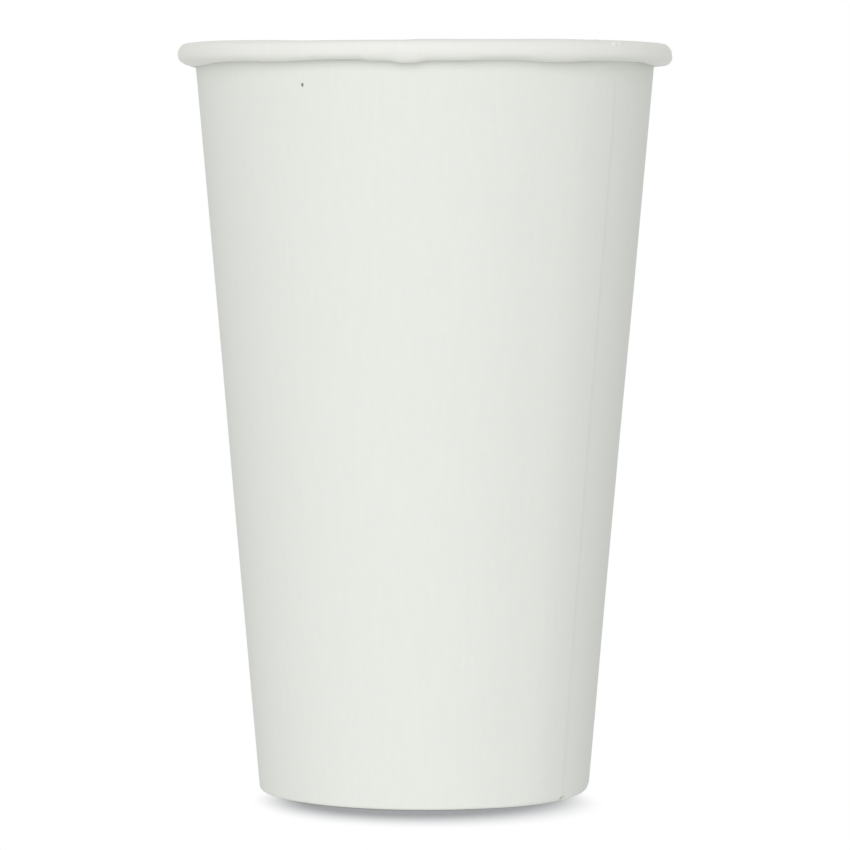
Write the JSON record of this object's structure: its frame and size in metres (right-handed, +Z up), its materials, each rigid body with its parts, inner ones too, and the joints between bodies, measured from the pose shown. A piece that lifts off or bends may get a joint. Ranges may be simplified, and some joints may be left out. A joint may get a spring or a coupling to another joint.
{
  "type": "paper cold cup",
  "caption": "Plain white paper cup for cold drinks: a tapered wall with a rolled rim and a lapped side seam, and a recessed base locked in by a folded hem.",
  "frame": {"origin": "middle of the foot ring, at the level that the cup stands on", "axes": "+Z up the axis of the cup, out of its mouth; the outer cut edge of the side seam is 36 degrees from +X towards -Y"},
  "size_m": [0.09, 0.09, 0.136],
  "materials": {
    "sidewall_board": "white board with a thin satin film on both sides",
    "base_board": "white board with a thin satin film on both sides"
  },
  "bodies": {
    "root": {"sidewall": "sidewall_board", "base": "base_board"}
  },
  "joints": []
}
